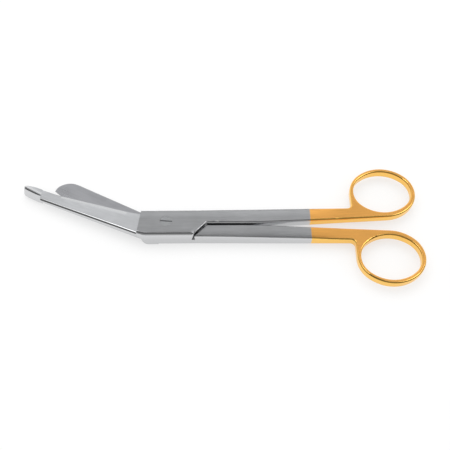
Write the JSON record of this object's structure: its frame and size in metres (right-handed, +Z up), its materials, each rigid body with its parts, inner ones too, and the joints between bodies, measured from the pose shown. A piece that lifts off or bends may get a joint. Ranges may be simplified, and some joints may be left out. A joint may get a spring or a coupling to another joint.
{
  "type": "bandage scissors",
  "caption": "Angled bandage scissors: a round-tipped blade and a longer blade with a blunt probe nose, lapped at a slotted screw, with oval finger rings and gilt handles.",
  "frame": {"origin": "on the pivot axis, at the flat outer face that the closed scissors rest on", "axes": "+X runs from the pivot towards the finger rings, +Y is the side that the blades bend to, +Z is up out of the screw's slotted head"},
  "size_m": [0.1986, 0.065, 0.0084],
  "materials": {
    "probe_half": "satin ground blade and joint box, polished edges, gilt ring and handle",
    "plain_half": "satin ground blade, polished edges, gilt ring and handle",
    "pivot_screw": "satin, ground flush",
    "probe_blade_insert": "finely ground hard metal",
    "plain_blade_insert": "finely ground hard metal"
  },
  "bodies": {
    "plain_side": {"plain_half": "plain_half", "pivot_screw": "pivot_screw", "plain_blade_insert": "plain_blade_insert"},
    "probe_side": {"probe_half": "probe_half", "probe_blade_insert": "probe_blade_insert"}
  },
  "joints": [
    {"name": "pivot", "type": "hinge", "parent": "plain_side", "child": "probe_side", "pos_m": [0, 0, 0], "axis": [0, 0, 1], "range_deg": [0, 124]}
  ]
}
